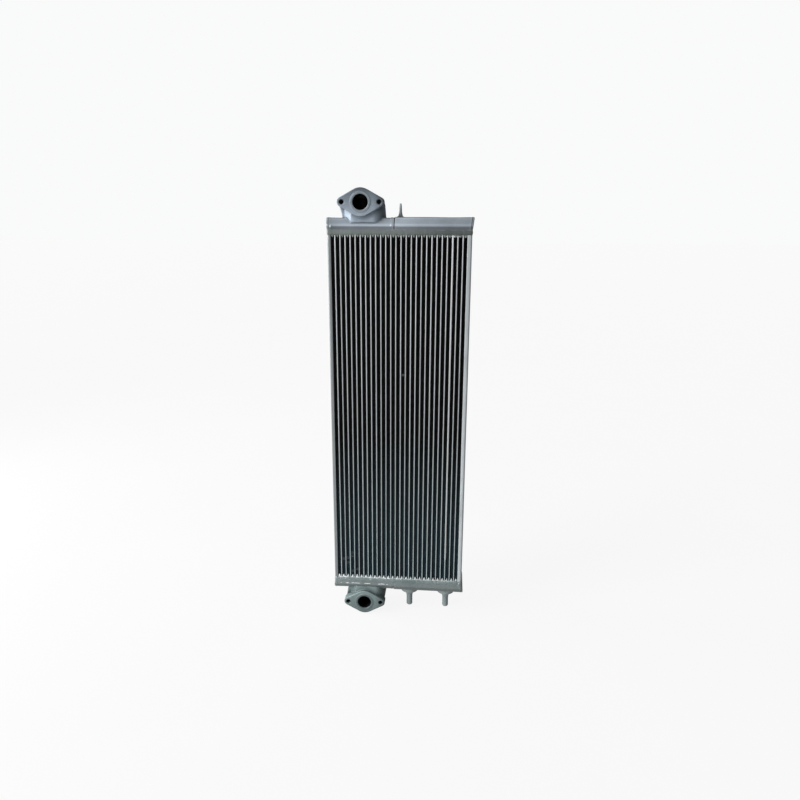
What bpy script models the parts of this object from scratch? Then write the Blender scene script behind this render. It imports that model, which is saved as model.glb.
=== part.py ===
"""Bar-and-plate hydraulic oil cooler for an excavator-size machine.

A brazed aluminium core of upright oil channels and air fins stands between two side plates. A folded
header tank is welded over each end of the core. Each tank is two bent sections and two end caps, and
carries a cast two-bolt port. The top tank has a mounting lug and the bottom tank has two locating pins.

Metres, +Z up. The oil ports face -Y and lie towards -X. The origin is the middle of the overall box.
Run with: blender --background --python part.py
"""

import math

import bmesh
import bpy
from mathutils import Matrix, Vector

# ---- fits ------------------------------------------------------------------------------------------
GAP = 0.0003  # left between pieces that touch
CUT_PAST = 0.002  # how far a cutter runs past the face it opens

# ---- core stack, along X ---------------------------------------------------------------------------
OIL_CHANNELS = 26
AIR_PASSAGES = OIL_CHANNELS + 1
FIN_HEIGHT = 0.0065  # width of one air passage
OIL_HEIGHT = 0.0030  # width of one oil channel, the height of its side bars
SHEET = 0.0006  # parting sheet between oil and air
PITCH = FIN_HEIGHT + OIL_HEIGHT + 2 * SHEET
CORE_WIDTH = AIR_PASSAGES * FIN_HEIGHT + OIL_CHANNELS * (OIL_HEIGHT + 2 * SHEET)
CORE_DEPTH = 0.100
EXPOSED_HEIGHT = 0.795  # open height of the air passages between the two rows of end bars
END_BAR = 0.008  # bar that closes each end of an air passage
END_BAR_NOSE = 0.005  # its V nose, which points into the passage
CORE_HEIGHT = EXPOSED_HEIGHT + 2 * END_BAR
OIL_BAR_DEPTH = 0.008  # long bar at the front and back of each oil channel
OIL_LANES = 4  # lanes that the turbulator's webs leave in one oil channel
TURBULATOR_WEB = 0.0008
FIN_SETBACK = 0.0020  # fins stand behind the front and back faces of the core
SIDE_PLATE = {-1: 0.0078, 1: 0.0100}  # the photo shows the right one thicker
SIDE_PLATE_EDGE = 0.0015

# ---- header tanks ----------------------------------------------------------------------------------
TANK_DEPTH = 0.102
TANK_WALL = 0.004
TANK_BEND_Z = 0.012  # height of the upright wall above the end of the core
TANK_SLOPE = 0.015  # run of the 45 degree shoulder
TANK_BEND_RADIUS = 0.006
SECTION_STEP = 0.0015  # the plain section is this much taller than the port section
SEAM_X = -0.0095  # where the two sections of a tank are butt welded
CAP_THICKNESS = 0.004
CAP_EDGE = 0.0014
END_FLARE = 0.15  # the tank's ends lean outwards by this much for each unit of height
BEND_STEPS = 5

# ---- port castings ---------------------------------------------------------------------------------
PORT_X = -0.0790
PORT_FACE_Y = -0.055
TOP_PORT_RISE = 0.0580  # bore centre beyond the end of the core
BOTTOM_PORT_DROP = 0.0555
PORT_BORE = 0.033
PORT_LAND = 0.042  # raised ring round the bore
PORT_LAND_RISE = 0.0008
BOLT_SPACING = 0.078
BOLT_HOLE = 0.0102  # tapping size for M12
BOLT_DEPTH = 0.017
FLANGE_HUB_RADIUS = 0.0287
FLANGE_LOBE_RADIUS = 0.0100
FLANGE_THICKNESS = 0.020
BODY_WIDTH = 0.084  # as drawn; its sides then lean as BODY_SIDES says
BODY_FRONT_Y = -0.047
BODY_BACK_Y = 0.033
BODY_CORNER = 0.022
BODY_CROWN = 0.010  # top of the body's block beyond the bore centre
BODY_TOP_EDGE = 0.015
BODY_SIDES = {  # X from the bore of the left and right side, each at the tank and at the bore's height
    1: ((-0.0412, -0.0500), (0.0475, 0.0450)),
    -1: ((-0.0420, -0.0475), (0.0475, 0.0475)),
}
FLAT_X = (-0.0206, -0.0365)  # front and back edge of the flat that cuts off the front left corner
FLAT_BACK_Y = -0.0325
BARREL_RADIUS = 0.0265  # round barrel about the bore, behind the flange
BARREL_BACK_Y = 0.029
BARREL_EDGE = 0.010
OIL_DROP = 0.038  # bore of the passage from the elbow down to the tank
OIL_DROP_Y = -0.008

# ---- mounting lug and locating pins ----------------------------------------------------------------
LUG_X = 0.0002
LUG_THICKNESS = 0.0032
LUG_HEIGHT = 0.028
LUG_WIDTH = 0.030
LUG_FOOT = 0.012
LUG_FOOT_HEIGHT = 0.018
LUG_HOLE = 0.011  # clears M10
PIN_X = (0.0265, 0.1150)
PIN_RADIUS = 0.0072
PIN_BOSS_RADIUS = 0.0205
PIN_BOSS_TAPER = 0.0015  # the boss is this much wider in radius at the tank
PIN_BOSS_HEIGHT = 0.017
PIN_NECK_HEIGHT = 0.036
PIN_LENGTH = 0.059
PIN_TIP_RADIUS = 0.0035
PIN_SEGMENTS = 32

# ---- places worked out from the sizes above ----------------------------------------------------------
CORE_END = CORE_HEIGHT / 2
HALF_WIDTH = CORE_WIDTH / 2
TANK_FOOT = CORE_END + GAP
TANK_RISE = TANK_BEND_Z + TANK_SLOPE
PLAIN_RISE = TANK_RISE + SECTION_STEP
TANK_END = {side: HALF_WIDTH + SIDE_PLATE[side] for side in (-1, 1)}  # end caps' outer faces at the core
SECTION_END = {side: TANK_END[side] - CAP_THICKNESS - GAP for side in (-1, 1)}
CREST_END = {side: TANK_END[side] + END_FLARE * rise for side, rise in ((-1, TANK_RISE), (1, PLAIN_RISE))}
PINS_BOTTOM = -(TANK_FOOT + PLAIN_RISE + GAP + PIN_LENGTH)
FLANGE_TOP = CORE_END + TOP_PORT_RISE + FLANGE_HUB_RADIUS
FRONT_Y = PORT_FACE_Y - PORT_LAND_RISE
BACK_Y = TANK_DEPTH / 2
CORE_CENTRE = -Vector((CREST_END[1] - CREST_END[-1], FRONT_Y + BACK_Y, FLANGE_TOP + PINS_BOTTOM)) / 2

# ---- finishes: colour, metallic, roughness -----------------------------------------------------------
FINISHES = {
    "brazed_aluminium": ((0.52, 0.53, 0.54), 0.85, 0.38),
    "fin_aluminium": ((0.035, 0.040, 0.045), 0.70, 0.45),
    "tank_paint": ((0.30, 0.34, 0.37), 0.55, 0.42),
    "cast_aluminium": ((0.27, 0.31, 0.33), 0.60, 0.45),
    "plate_aluminium": ((0.48, 0.50, 0.50), 0.75, 0.40),
}

# Extrusions are drawn in a local XY plane. These turn that plane upright.
FRONT_PLANE = Matrix(((1, 0, 0), (0, 0, -1), (0, 1, 0))).to_4x4()  # outline in X, Z; depth along Y
SIDE_PLANE = Matrix(((0, 0, 1), (1, 0, 0), (0, 1, 0))).to_4x4()  # outline in Y, Z; length along X
FLAT_PLANE = Matrix.Identity(4)  # outline in X, Y; height along Z


def clear_scene():
    for obj in list(bpy.data.objects):
        bpy.data.objects.remove(obj, do_unlink=True)


def make_collection(name):
    collection = bpy.data.collections.new(name)
    bpy.context.scene.collection.children.link(collection)
    return collection


def make_material(name, finish):
    colour, metallic, roughness = FINISHES[finish]
    material = bpy.data.materials.new(name)
    material.use_nodes = True
    material.diffuse_color = (*colour, 1)
    shader = material.node_tree.nodes["Principled BSDF"]
    shader.inputs["Base Color"].default_value = (*colour, 1)
    shader.inputs["Metallic"].default_value = metallic
    shader.inputs["Roughness"].default_value = roughness
    return material


class Cooler:
    """The assembly: every piece hangs from one empty at the middle of the core."""

    def __init__(self):
        self.parts = make_collection("hydraulic_oil_cooler")
        self.cutters = make_collection("cutters")
        self.datum = bpy.data.objects.new("core_centre", None)
        self.datum.location = CORE_CENTRE
        self.parts.objects.link(self.datum)

    def piece(self, name, mesh, finish, location=(0, 0, 0)):
        obj = bpy.data.objects.new(name, mesh)
        mesh.materials.clear()
        mesh.materials.append(make_material(name, finish))
        self.parts.objects.link(obj)
        obj.parent = self.datum
        obj.location = location
        return obj

    def tool(self, name, mesh, location=(0, 0, 0)):
        obj = bpy.data.objects.new(name, mesh)
        self.cutters.objects.link(obj)
        obj.parent = self.datum
        obj.location = location
        obj.display_type = "WIRE"
        obj.hide_render = True
        return obj


def combine(target, tool, operation="DIFFERENCE"):
    modifier = target.modifiers.new(f"{operation.lower()} {tool.name}", "BOOLEAN")
    modifier.operation = operation
    modifier.object = tool
    modifier.solver = "EXACT"


def round_edges(obj, width, segments, angle=60, clamp=True):
    modifier = obj.modifiers.new("rounded edges", "BEVEL")
    modifier.width = width
    modifier.segments = segments
    modifier.limit_method = "ANGLE"
    modifier.angle_limit = math.radians(angle)
    modifier.use_clamp_overlap = clamp


def shade(mesh, angle=35):
    mesh.shade_smooth()
    mesh.set_sharp_from_angle(angle=math.radians(angle))


def boxes_mesh(name, boxes):
    """One mesh of closed boxes, each given by its lowest and highest corner."""
    bm = bmesh.new()
    for low, high in boxes:
        low, high = Vector(low), Vector(high)
        size = Matrix.Diagonal((*(high - low), 1))
        bmesh.ops.create_cube(bm, size=1, matrix=Matrix.Translation((low + high) / 2) @ size)
    mesh = bpy.data.meshes.new(name)
    bm.to_mesh(mesh)
    bm.free()
    return mesh


def cylinder_mesh(name, diameter, start, end, segments=32):
    """A closed cylinder between two points."""
    start, end = Vector(start), Vector(end)
    axis = end - start
    turn = axis.to_track_quat("Z", "Y").to_matrix().to_4x4()
    bm = bmesh.new()
    bmesh.ops.create_cone(
        bm,
        cap_ends=True,
        segments=segments,
        radius1=diameter / 2,
        radius2=diameter / 2,
        depth=axis.length,
        matrix=Matrix.Translation((start + end) / 2) @ turn,
    )
    mesh = bpy.data.meshes.new(name)
    bm.to_mesh(mesh)
    bm.free()
    return mesh


def extruded_mesh(name, outlines, length, plane):
    """Closed outlines, filled and extruded symmetrically by length. Inner outlines are holes."""
    curve = bpy.data.curves.new(name, "CURVE")
    curve.dimensions = "2D"
    curve.fill_mode = "BOTH"
    curve.extrude = length / 2
    for outline in outlines:
        spline = curve.splines.new("POLY")
        spline.points.add(len(outline) - 1)
        for point, (across, up) in zip(spline.points, outline):
            point.co = (across, up, 0, 1)
        spline.use_cyclic_u = True
    guide = bpy.data.objects.new(name, curve)
    bpy.context.scene.collection.objects.link(guide)
    evaluated = guide.evaluated_get(bpy.context.evaluated_depsgraph_get())
    mesh = bpy.data.meshes.new_from_object(evaluated)
    bpy.data.objects.remove(guide, do_unlink=True)
    bpy.data.curves.remove(curve)
    bm = bmesh.new()
    bm.from_mesh(mesh)
    bmesh.ops.remove_doubles(bm, verts=bm.verts, dist=0.00001)
    bm.transform(plane)
    bmesh.ops.recalc_face_normals(bm, faces=bm.faces)
    bm.to_mesh(mesh)
    bm.free()
    mesh.name = name
    return mesh


def rounded(points, radius, steps=BEND_STEPS):
    """An open line with each inner corner replaced by an arc of the given radius."""
    line = [points[0]]
    for before, corner, after in zip(points, points[1:], points[2:]):
        corner = Vector(corner)
        back = (Vector(before) - corner).normalized()
        ahead = (Vector(after) - corner).normalized()
        half_angle = back.angle(ahead) / 2
        centre = corner + (back + ahead).normalized() * radius / math.sin(half_angle)
        first = corner + back * radius / math.tan(half_angle) - centre
        last = corner + ahead * radius / math.tan(half_angle) - centre
        sweep = first.angle_signed(last)
        for step in range(steps + 1):
            turn = Matrix.Rotation(-sweep * step / steps, 2)
            line.append(tuple(centre + turn @ first))
    line.append(points[-1])
    return line


def arc(centre, radius, start, end, steps):
    """Points on an arc, angles in degrees."""
    angles = [math.radians(start + (end - start) * step / steps) for step in range(steps + 1)]
    return [(centre[0] + radius * math.cos(a), centre[1] + radius * math.sin(a)) for a in angles]


# ---- core ------------------------------------------------------------------------------------------


def passage_left(index):
    """Left wall of an air passage, counted from 0 at -X."""
    return -HALF_WIDTH + index * PITCH


def nose(left, right, side):
    """End of an air passage at one end of the core: flat, V nose, flat."""
    shoulder = side * (CORE_END - END_BAR)
    tip = side * (CORE_END - END_BAR - END_BAR_NOSE)
    return [(left, shoulder), ((left + right) / 2, tip), (right, shoulder)]


def air_passage_outlines():
    """The air passages seen from the front. The two outermost ones are open at the sides."""
    outlines = []
    for index in range(AIR_PASSAGES):
        left = passage_left(index)
        right = left + FIN_HEIGHT
        outline = [*nose(left, right, 1), *reversed(nose(left, right, -1))]
        top, bottom = outline[0][1], outline[-1][1]
        if index == 0:
            outline += [(left - CUT_PAST, bottom), (left - CUT_PAST, top)]
        if index == AIR_PASSAGES - 1:
            outline[3:3] = [(right + CUT_PAST, top), (right + CUT_PAST, bottom)]
        outlines.append(outline)
    return outlines


def oil_lanes():
    """Boxes of the open oil lanes, which run the whole height of the core."""
    depth = CORE_DEPTH - 2 * OIL_BAR_DEPTH
    lane = (depth - (OIL_LANES - 1) * TURBULATOR_WEB) / OIL_LANES
    top = CORE_END + CUT_PAST
    boxes = []
    for channel in range(OIL_CHANNELS):
        left = passage_left(channel) + FIN_HEIGHT + SHEET
        for row in range(OIL_LANES):
            front = -depth / 2 + row * (lane + TURBULATOR_WEB)
            boxes.append(((left, front, -top), (left + OIL_HEIGHT, front + lane, top)))
    return boxes


def build_core(cooler):
    half_size = Vector((HALF_WIDTH, CORE_DEPTH / 2, CORE_END))
    block = boxes_mesh("brazed_core", [(-half_size, half_size)])
    core = cooler.piece("brazed_core", block, "brazed_aluminium")
    cut_depth = CORE_DEPTH + 2 * CUT_PAST
    passages = extruded_mesh("air_passages", air_passage_outlines(), cut_depth, FRONT_PLANE)
    combine(core, cooler.tool("air_passages", passages))
    combine(core, cooler.tool("oil_lanes", boxes_mesh("oil_lanes", oil_lanes())))

    fin_size = Vector(
        (
            FIN_HEIGHT - 2 * GAP,
            CORE_DEPTH - 2 * FIN_SETBACK,
            EXPOSED_HEIGHT - 2 * (END_BAR_NOSE + GAP),
        )
    )
    fin = boxes_mesh("air_fin", [(-fin_size / 2, fin_size / 2)])
    for index in range(AIR_PASSAGES):
        centre = passage_left(index) + FIN_HEIGHT / 2
        cooler.piece(f"air_fin_{index + 1:02d}", fin.copy(), "fin_aluminium", (centre, 0, 0))

    for name, side in (("side_plate_left", -1), ("side_plate_right", 1)):
        plate_size = Vector((SIDE_PLATE[side] - GAP, CORE_DEPTH, CORE_HEIGHT))
        plate = boxes_mesh(name, [(-plate_size / 2, plate_size / 2)])
        place = side * (HALF_WIDTH + GAP + plate_size.x / 2)
        round_edges(cooler.piece(name, plate, "plate_aluminium", (place, 0, 0)), SIDE_PLATE_EDGE, 2)


# ---- header tanks ----------------------------------------------------------------------------------


def tank_line(rise, inset=0.0, foot=0.0):
    """Bent wall of a tank in Y and height above the core, from its front edge to its back edge."""
    half = TANK_DEPTH / 2 - inset
    slope_shift = inset * math.tan(math.radians(45 / 2))  # the shoulder slopes at 45 degrees
    bend = rise - TANK_SLOPE - slope_shift
    crest = rise - inset
    run = crest - bend
    front = [(-half, foot), (-half, bend), (-half + run, crest)]
    back = [(-y, z) for y, z in reversed(front)]
    return rounded(front + back, max(TANK_BEND_RADIUS - inset, 0.001))


def lean(mesh, start):
    """Leans a tank's outer end outwards: points beyond start move by END_FLARE of their height."""
    for vertex in mesh.vertices:
        if abs(vertex.co.x) > start:
            vertex.co.x += math.copysign(END_FLARE * vertex.co.z, vertex.co.x)


def stand_on_core(mesh, side):
    """Moves a mesh from height above the core to its place at the top (1) or bottom (-1) end."""
    bm = bmesh.new()
    bm.from_mesh(mesh)
    for vertex in bm.verts:
        vertex.co.z = side * (vertex.co.z + TANK_FOOT)
    bmesh.ops.recalc_face_normals(bm, faces=bm.faces)
    bm.to_mesh(mesh)
    bm.free()
    shade(mesh)


def section_mesh(name, rise, start, end, side):
    outline = tank_line(rise) + list(reversed(tank_line(rise, TANK_WALL)))
    mesh = extruded_mesh(name, [outline], end - start, SIDE_PLANE)
    mesh.transform(Matrix.Translation(((start + end) / 2, 0, 0)))
    lean(mesh, SECTION_END[-1] - GAP)
    stand_on_core(mesh, side)
    return mesh


def cap_mesh(name, rise, end, side):
    mesh = extruded_mesh(name, [tank_line(rise)], CAP_THICKNESS, SIDE_PLANE)
    mesh.transform(Matrix.Translation((end * (TANK_END[end] - CAP_THICKNESS / 2), 0, 0)))
    lean(mesh, 0)
    stand_on_core(mesh, side)
    return mesh


def build_tank(cooler, prefix, side):
    """Two bent sections and two end caps at the top (1) or bottom (-1) of the core."""
    port_name, plain_name = f"{prefix}_tank_port_section", f"{prefix}_tank_plain_section"
    port_mesh = section_mesh(port_name, TANK_RISE, -SECTION_END[-1], SEAM_X - GAP / 2, side)
    plain_mesh = section_mesh(plain_name, PLAIN_RISE, SEAM_X + GAP / 2, SECTION_END[1], side)
    port_section = cooler.piece(port_name, port_mesh, "tank_paint")
    cooler.piece(plain_name, plain_mesh, "tank_paint")

    crest = TANK_FOOT + TANK_RISE
    hole = cylinder_mesh(
        f"{prefix}_tank_hole",
        OIL_DROP,
        (PORT_X, OIL_DROP_Y, side * (crest - TANK_WALL - CUT_PAST)),
        (PORT_X, OIL_DROP_Y, side * (crest + CUT_PAST)),
    )
    combine(port_section, cooler.tool(hole.name, hole))

    for end, rise, end_name in ((-1, TANK_RISE, "left"), (1, PLAIN_RISE, "right")):
        name = f"{prefix}_tank_cap_{end_name}"
        cap = cooler.piece(name, cap_mesh(name, rise, end, side), "tank_paint")
        round_edges(cap, CAP_EDGE, 2)


# ---- port castings ---------------------------------------------------------------------------------


def flange_outline():
    """Two-bolt diamond flange about the bore centre: a round hub drawn out to two lobes."""
    half = BOLT_SPACING / 2
    tangent = math.degrees(math.acos((FLANGE_HUB_RADIUS - FLANGE_LOBE_RADIUS) / half))
    outline = arc((0, 0), FLANGE_HUB_RADIUS, tangent, 180 - tangent, 10)
    outline += arc((-half, 0), FLANGE_LOBE_RADIUS, 180 - tangent, 180 + tangent, 10)
    outline += arc((0, 0), FLANGE_HUB_RADIUS, 180 + tangent, 360 - tangent, 10)
    outline += arc((half, 0), FLANGE_LOBE_RADIUS, -tangent, tangent, 10)
    return outline


def body_outline():
    """Plan of the casting's body about the bore's X: a block with round upright corners."""
    x, front, back, radius = BODY_WIDTH / 2, BODY_FRONT_Y, BODY_BACK_Y, BODY_CORNER
    outline = arc((x - radius, front + radius), radius, -90, 0, 7)
    outline += arc((x - radius, back - radius), radius, 0, 90, 7)
    outline += arc((radius - x, back - radius), radius, 90, 180, 7)
    outline += arc((radius - x, front + radius), radius, 180, 270, 7)
    return outline


def build_port(cooler, prefix, side, rise):
    """A cast elbow: flange on -Y, oil passage turning down into the tank."""
    bore_z = side * (CORE_END + rise)
    base = TANK_FOOT + TANK_BEND_Z - BODY_TOP_EDGE  # its rounded bottom is cut away by the saddle
    crown = CORE_END + rise + BODY_CROWN
    height = crown - base

    body_mesh = extruded_mesh(f"{prefix}_port", [body_outline()], height, FLAT_PLANE)
    middle = (base + crown) / 2
    crest = TANK_FOOT + TANK_RISE
    for vertex in body_mesh.vertices:
        share = (vertex.co.z * side + middle - crest) / (abs(bore_z) - crest)
        left, right = (at_tank + (at_bore - at_tank) * share for at_tank, at_bore in BODY_SIDES[side])
        vertex.co.x = left + (right - left) * (vertex.co.x / BODY_WIDTH + 0.5)
    place = (PORT_X, 0, side * middle)
    port = cooler.piece(f"{prefix}_port", body_mesh, "cast_aluminium", place)
    shade(body_mesh)
    round_edges(port, BODY_TOP_EDGE, 5, clamp=False)

    front_x, back_x = FLAT_X
    past_x, past_y = -BODY_WIDTH, BODY_FRONT_Y - CUT_PAST
    corner = [(front_x, BODY_FRONT_Y), (back_x, FLAT_BACK_Y), (past_x, FLAT_BACK_Y)]
    corner += [(past_x, past_y), (front_x, past_y)]
    flat = extruded_mesh(f"{prefix}_body_flat", [corner], 2 * height, FLAT_PLANE)
    combine(port, cooler.tool(flat.name, flat, place))

    barrel_mesh = cylinder_mesh(
        f"{prefix}_barrel",
        2 * BARREL_RADIUS,
        (PORT_X, PORT_FACE_Y + FLANGE_THICKNESS / 2, bore_z),
        (PORT_X, BARREL_BACK_Y, bore_z),
        40,
    )
    barrel = cooler.tool(barrel_mesh.name, barrel_mesh)
    round_edges(barrel, BARREL_EDGE, 4)
    combine(port, barrel, "UNION")

    flange = extruded_mesh(f"{prefix}_flange", [flange_outline()], FLANGE_THICKNESS, FRONT_PLANE)
    flange_y = PORT_FACE_Y + FLANGE_THICKNESS / 2
    combine(port, cooler.tool(flange.name, flange, (PORT_X, flange_y, bore_z)), "UNION")

    face_y = PORT_FACE_Y
    tools = [
        ("land", PORT_LAND, 0, face_y - PORT_LAND_RISE, face_y + CUT_PAST, 40, "UNION"),
        ("bore", PORT_BORE, 0, face_y - CUT_PAST, OIL_DROP_Y, 36, "DIFFERENCE"),
    ]
    for hand, x in (("left", -BOLT_SPACING / 2), ("right", BOLT_SPACING / 2)):
        depth = face_y + BOLT_DEPTH
        tools.append((f"bolt_{hand}", BOLT_HOLE, x, face_y - CUT_PAST, depth, 20, "DIFFERENCE"))
    for part, diameter, x, start, end, segments, operation in tools:
        mesh = cylinder_mesh(
            f"{prefix}_{part}",
            diameter,
            (PORT_X + x, start, bore_z),
            (PORT_X + x, end, bore_z),
            segments,
        )
        combine(port, cooler.tool(mesh.name, mesh), operation)

    drop = cylinder_mesh(
        f"{prefix}_drop",
        OIL_DROP,
        (PORT_X, OIL_DROP_Y, side * CORE_END),
        (PORT_X, OIL_DROP_Y, bore_z + side * PORT_BORE / 4),
        36,
    )
    combine(port, cooler.tool(drop.name, drop))

    saddle_length = 2 * BODY_WIDTH
    saddle_line = tank_line(TANK_RISE, -GAP, -TANK_BEND_Z)
    saddle = extruded_mesh(f"{prefix}_saddle", [saddle_line], saddle_length, SIDE_PLANE)
    saddle.transform(Matrix.Translation((PORT_X, 0, 0)))
    stand_on_core(saddle, side)
    combine(port, cooler.tool(saddle.name, saddle))


# ---- mounting lug and locating pins ----------------------------------------------------------------


def lug_outline():
    """The lug seen edge-on: a flat plate whose foot spreads in a concave curve."""
    half, foot = LUG_THICKNESS / 2, LUG_FOOT / 2
    curve = []
    steps = 6
    for step in range(steps + 1):
        angle = math.pi / 2 * step / steps
        curve.append(
            (foot - (foot - half) * math.sin(angle), LUG_FOOT_HEIGHT * (1 - math.cos(angle)))
        )
    right = [*curve, (half, LUG_HEIGHT)]
    return right + [(-x, z) for x, z in reversed(right)]


def build_lug(cooler):
    mesh = extruded_mesh("mounting_lug", [lug_outline()], LUG_WIDTH, FRONT_PLANE)
    crest = TANK_FOOT + PLAIN_RISE + GAP
    lug = cooler.piece("mounting_lug", mesh, "cast_aluminium", (LUG_X, 0, crest))

    top_radius = LUG_WIDTH / 2
    eye_z = LUG_HEIGHT - top_radius  # the hole and the rounded top share this centre
    above = LUG_HEIGHT + CUT_PAST
    corner_trim = arc((0, eye_z), top_radius, 0, 180, 20)
    corner_trim += [(-top_radius - CUT_PAST, eye_z), (-top_radius - CUT_PAST, above)]
    corner_trim += [(top_radius + CUT_PAST, above), (top_radius + CUT_PAST, eye_z)]
    trim = extruded_mesh("lug_trim", [corner_trim], 2 * LUG_FOOT, SIDE_PLANE)
    combine(lug, cooler.tool("lug_trim", trim, (LUG_X, 0, crest)))

    hole = cylinder_mesh(
        "lug_hole",
        LUG_HOLE,
        (LUG_X - LUG_FOOT, 0, crest + eye_z),
        (LUG_X + LUG_FOOT, 0, crest + eye_z),
        24,
    )
    combine(lug, cooler.tool("lug_hole", hole))


def pin_profile():
    """Outer side of a pin from its boss at the tank down to its tip, as radius and height."""
    profile = [(0, 0), (PIN_BOSS_RADIUS + PIN_BOSS_TAPER, 0), (PIN_BOSS_RADIUS, -PIN_BOSS_HEIGHT)]
    steps = 8
    for step in range(1, steps + 1):
        angle = math.pi / 2 * step / steps
        radius = PIN_BOSS_RADIUS - (PIN_BOSS_RADIUS - PIN_RADIUS) * math.sin(angle)
        drop = PIN_BOSS_HEIGHT + (PIN_NECK_HEIGHT - PIN_BOSS_HEIGHT) * (1 - math.cos(angle))
        profile.append((radius, -drop))
    tip = (PIN_RADIUS - PIN_TIP_RADIUS, -(PIN_LENGTH - PIN_TIP_RADIUS))
    profile += [(r, z) for r, z in arc(tip, PIN_TIP_RADIUS, 0, -90, 5)]
    return profile + [(0, -PIN_LENGTH)]


def build_pin(cooler, name, x):
    profile = pin_profile()
    mesh = bpy.data.meshes.new(name)
    edges = [(index, index + 1) for index in range(len(profile) - 1)]
    mesh.from_pydata([(radius, 0, z) for radius, z in profile], edges, [])
    pin = cooler.piece(name, mesh, "cast_aluminium", (x, 0, -(TANK_FOOT + PLAIN_RISE + GAP)))
    turn = pin.modifiers.new("turned", "SCREW")
    turn.axis = "Z"
    turn.steps = PIN_SEGMENTS
    turn.render_steps = PIN_SEGMENTS
    turn.use_merge_vertices = True
    turn.merge_threshold = 0.00001


def main():
    clear_scene()
    cooler = Cooler()
    build_core(cooler)
    build_tank(cooler, "top", 1)
    build_tank(cooler, "bottom", -1)
    build_port(cooler, "top", 1, TOP_PORT_RISE)
    build_port(cooler, "bottom", -1, BOTTOM_PORT_DROP)
    build_lug(cooler)
    build_pin(cooler, "locating_pin_inner", PIN_X[0])
    build_pin(cooler, "locating_pin_outer", PIN_X[1])


main()
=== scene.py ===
"""Looks of the hydraulic oil cooler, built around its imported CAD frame.

Metres, +Z up, ports facing -Y. Shapes are worked out about the middle of the core and moved to the
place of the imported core, so that every piece's origin is the frame's own.
"""

import math
import random

import bmesh
import bpy
from mathutils import Matrix, Vector, noise


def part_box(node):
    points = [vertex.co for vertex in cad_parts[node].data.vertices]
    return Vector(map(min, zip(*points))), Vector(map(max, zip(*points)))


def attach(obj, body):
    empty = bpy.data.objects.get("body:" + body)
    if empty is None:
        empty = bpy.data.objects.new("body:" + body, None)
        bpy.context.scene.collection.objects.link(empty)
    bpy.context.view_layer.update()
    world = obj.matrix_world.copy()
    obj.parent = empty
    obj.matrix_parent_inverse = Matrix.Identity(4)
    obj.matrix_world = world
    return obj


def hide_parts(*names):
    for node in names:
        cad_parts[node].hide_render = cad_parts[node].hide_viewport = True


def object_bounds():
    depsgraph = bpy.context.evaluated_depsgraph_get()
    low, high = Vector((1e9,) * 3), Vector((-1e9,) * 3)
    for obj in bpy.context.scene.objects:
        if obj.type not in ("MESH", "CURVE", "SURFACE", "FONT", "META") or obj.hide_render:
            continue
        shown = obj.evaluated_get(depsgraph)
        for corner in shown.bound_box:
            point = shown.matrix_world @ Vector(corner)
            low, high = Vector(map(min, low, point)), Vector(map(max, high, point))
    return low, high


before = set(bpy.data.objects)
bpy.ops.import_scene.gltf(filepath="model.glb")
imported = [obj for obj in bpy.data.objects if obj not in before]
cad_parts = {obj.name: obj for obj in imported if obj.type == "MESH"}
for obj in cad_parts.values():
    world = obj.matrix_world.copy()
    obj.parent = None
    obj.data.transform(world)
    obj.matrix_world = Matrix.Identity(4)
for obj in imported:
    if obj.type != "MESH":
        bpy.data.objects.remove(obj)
cad_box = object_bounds()

# ---- sizes from the frame ----------------------------------------------------------------------------
CENTRE = sum(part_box("brazed_core"), Vector()) / 2


def local_box(node):
    """A node's lowest and highest corner about the middle of the core."""
    low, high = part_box(node)
    return low - CENTRE, high - CENTRE


CORE = local_box("brazed_core")[1]  # half width, half depth and half height of the core
FINS = [local_box(f"air_fin_{index:02d}") for index in range(1, 28)]
PORT_SECTION = local_box("top_tank_port_section")
PLAIN_SECTION = local_box("top_tank_plain_section")
PLATES = {-1: local_box("side_plate_left"), 1: local_box("side_plate_right")}
LUG = local_box("mounting_lug")

GAP = 0.0003  # between CAD pieces that touch
SHEET_THICKNESS = 0.0006
PITCH = (FINS[-1][0].x - FINS[0][0].x) / (len(FINS) - 1)
NOSE = 0.005  # V nose of the bar that closes an air passage
TEETH = FINS[0][1].z + GAP + NOSE  # height at which the passages end
HALF_STACK = CORE.x

TANK_FOOT = PORT_SECTION[0].z
TANK_HALF_DEPTH = PORT_SECTION[1].y
PORT_RISE = PORT_SECTION[1].z - TANK_FOOT
PLAIN_RISE = PLAIN_SECTION[1].z - TANK_FOOT
SEAM_X = PORT_SECTION[1].x
WALL = 0.004
CAP_FOOT = {-1: -PLATES[-1][0].x, 1: PLATES[1][1].x}  # reach of each tank end where it meets the core
SECTION_END = {end: reach - WALL - GAP for end, reach in CAP_FOOT.items()}
SHOULDER = 0.015  # run of the 45 degree shoulder
BEND_RADIUS = 0.006
END_LEAN = 0.15

BORE_RADIUS = 0.0165
LAND_RADIUS = 0.0210
BOLT_RADIUS = 0.0051
BOLT_OFFSET = 0.039
DROP_RADIUS = 0.019  # passage from the elbow down to the tank
DROP_Y = -0.008
FOOT = {1: (-0.0412, 0.0475), -1: (-0.0420, 0.0475)}  # sides of a casting's foot from the bore's X
FOOT_FRONT = -0.0468
FOOT_BACK = 0.0328
FLAT = (Vector((-0.0206, FOOT_FRONT)), Vector((-0.0365, -0.0325)))  # ends of the flat on its corner
PORT_HALF_HUB = 0.0287
PORT_X = sum(corner.x for corner in local_box("bottom_port")) / 2

random.seed(7)


# ---- mesh building -----------------------------------------------------------------------------------


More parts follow.
